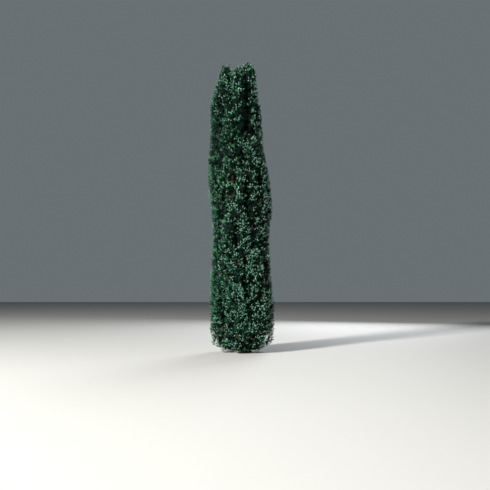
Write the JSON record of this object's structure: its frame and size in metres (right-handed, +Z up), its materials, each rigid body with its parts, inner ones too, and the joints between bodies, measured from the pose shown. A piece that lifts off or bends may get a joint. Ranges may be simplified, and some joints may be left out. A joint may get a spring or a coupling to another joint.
{
  "type": "columnar yew",
  "caption": "Tall narrow evergreen tree: a short trunk forks into upright leaders, and dense plumes of dark needles make one slim column",
  "frame": {"origin": "middle of the flat cut under the trunk, at ground level", "axes": "+Z up, +X to the viewer's right, the viewer stands at -Y"},
  "size_m": [1.5511, 1.4817, 7],
  "materials": {
    "bark": "rough reddish-brown bark that peels in long thin flakes",
    "needles": "dark green needles with a soft waxy gloss"
  },
  "bodies": {
    "root": {"trunk": "bark", "leader_left": "bark", "leader_middle": "bark", "leader_right": "bark", "leader_far_right": "bark", "leader_back": "bark", "bough_skirt_1": "bark", "bough_skirt_2": "bark", "bough_skirt_3": "bark", "bough_skirt_4": "bark", "bough_skirt_5": "bark", "bough_skirt_6": "bark", "bough_lower_1": "bark", "bough_lower_2": "bark", "bough_lower_3": "bark", "bough_lower_4": "bark", "bough_lower_5": "bark", "bough_lower_6": "bark", "bough_middle_1": "bark", "bough_middle_2": "bark", "bough_middle_3": "bark", "bough_middle_4": "bark", "bough_middle_5": "bark", "bough_middle_6": "bark", "bough_upper_1": "bark", "bough_upper_2": "bark", "bough_upper_3": "bark", "bough_upper_4": "bark", "bough_upper_5": "bark", "bough_upper_6": "bark", "foliage_crest_left": "needles", "foliage_crest_middle": "needles", "foliage_crest_right": "needles", "foliage_crest_far_right": "needles", "foliage_crest_back": "needles", "foliage_skirt_1": "needles", "foliage_skirt_2": "needles", "foliage_skirt_3": "needles", "foliage_skirt_4": "needles", "foliage_skirt_5": "needles", "foliage_skirt_6": "needles", "foliage_lower_1": "needles", "foliage_lower_2": "needles", "foliage_lower_3": "needles", "foliage_lower_4": "needles", "foliage_lower_5": "needles", "foliage_lower_6": "needles", "foliage_middle_1": "needles", "foliage_middle_2": "needles", "foliage_middle_3": "needles", "foliage_middle_4": "needles", "foliage_middle_5": "needles", "foliage_middle_6": "needles", "foliage_upper_1": "needles", "foliage_upper_2": "needles", "foliage_upper_3": "needles", "foliage_upper_4": "needles", "foliage_upper_5": "needles", "foliage_upper_6": "needles"}
  },
  "joints": []
}
